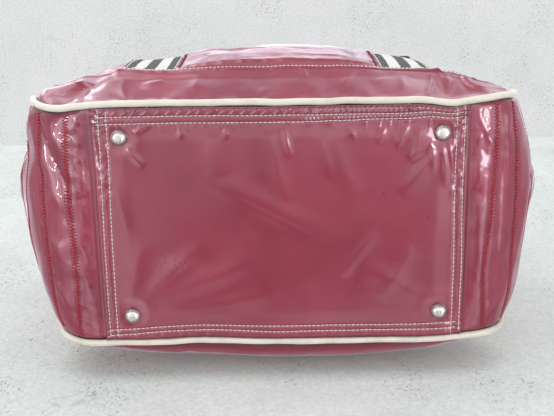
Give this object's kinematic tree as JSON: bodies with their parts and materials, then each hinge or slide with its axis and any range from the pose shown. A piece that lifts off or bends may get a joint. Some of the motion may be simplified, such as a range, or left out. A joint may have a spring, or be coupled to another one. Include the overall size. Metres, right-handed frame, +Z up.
{
  "type": "boston bag",
  "caption": "Zip-top boston bag of glossy burgundy coated cloth with striped webbing handles, piped edges and metal feet under a flat base.",
  "frame": {"origin": "middle of the base, at the level of the feet's tips", "axes": "+X runs along the zip, +Y goes from the pocket side to the back, +Z is up from the feet to the handles"},
  "size_m": [0.4456, 0.2436, 0.3995],
  "materials": {
    "shell_cloth": "high gloss coating over woven cloth",
    "piping": "satin",
    "webbing": "matte weave with white stripes",
    "lining": "matte",
    "board": "matte",
    "stud_metal": "polished nickel, scratched",
    "zip_tape": "matte weave",
    "zip_metal": "polished nickel"
  },
  "bodies": {
    "bag": {"bottom_panel": "shell_cloth", "base_board": "board", "bottom_studs": "stud_metal", "stud_washers": "stud_metal", "front_band": "shell_cloth", "front_panel": "shell_cloth", "front_pocket": "shell_cloth", "front_pocket_binding": "shell_cloth", "front_piping": "piping", "back_band": "shell_cloth", "back_panel": "shell_cloth", "back_piping": "piping", "left_gusset": "shell_cloth", "right_gusset": "shell_cloth", "left_top_end": "shell_cloth", "right_top_end": "shell_cloth", "front_left_strap": "webbing", "front_right_strap": "webbing", "back_left_strap": "webbing", "back_right_strap": "webbing", "front_lining": "lining", "back_lining": "lining", "gusset_lining": "lining", "left_zip_end": "zip_tape", "right_zip_end": "zip_tape"},
    "front_flap": {"front_flap": "shell_cloth", "front_zip_tape": "zip_tape", "front_zip_teeth": "zip_metal"},
    "back_flap": {"back_flap": "shell_cloth", "back_zip_tape": "zip_tape", "back_zip_teeth": "zip_metal"},
    "slider": {"zip_slider": "zip_metal"},
    "pull": {"zip_pull_link": "zip_metal", "zip_pull_tab": "piping"},
    "front_handle": {"front_handle": "webbing"},
    "back_handle": {"back_handle": "webbing"}
  },
  "joints": [
    {"name": "zip_slide", "type": "slide", "parent": "bag", "child": "slider", "axis": [1, 0, 0], "range_m": [0, 0.2514], "deforming": ["front_zip_tape", "front_zip_teeth", "back_zip_tape", "back_zip_teeth"]},
    {"name": "front_flap_hinge", "type": "hinge", "parent": "bag", "child": "front_flap", "pos_m": [0, -0.0563, 0.27721], "axis": [1, 0, 0], "range_deg": [0, 90.1]},
    {"name": "back_flap_hinge", "type": "hinge", "parent": "bag", "child": "back_flap", "pos_m": [0, 0.0563, 0.27721], "axis": [-1, 0, 0], "range_deg": [0, 90.1]},
    {"name": "pull_hinge", "type": "hinge", "parent": "slider", "child": "pull", "pos_m": [-0.1257, 0, 0.27976], "axis": [0, -1, 0], "range_deg": [0, 150]},
    {"name": "front_handle_swing", "type": "hinge", "parent": "bag", "child": "front_handle", "pos_m": [0, -0.09957, 0.21278], "axis": [1, 0, 0], "range_deg": [-3, 165]},
    {"name": "back_handle_swing", "type": "hinge", "parent": "bag", "child": "back_handle", "pos_m": [0, 0.09589, 0.21229], "axis": [-1, 0, 0], "range_deg": [-3, 165]}
  ],
  "couplings": [
    {"joint": "front_flap_hinge", "follows": "zip_slide", "rad_per_m": 6.248},
    {"joint": "back_flap_hinge", "follows": "zip_slide", "rad_per_m": 6.248}
  ]
}
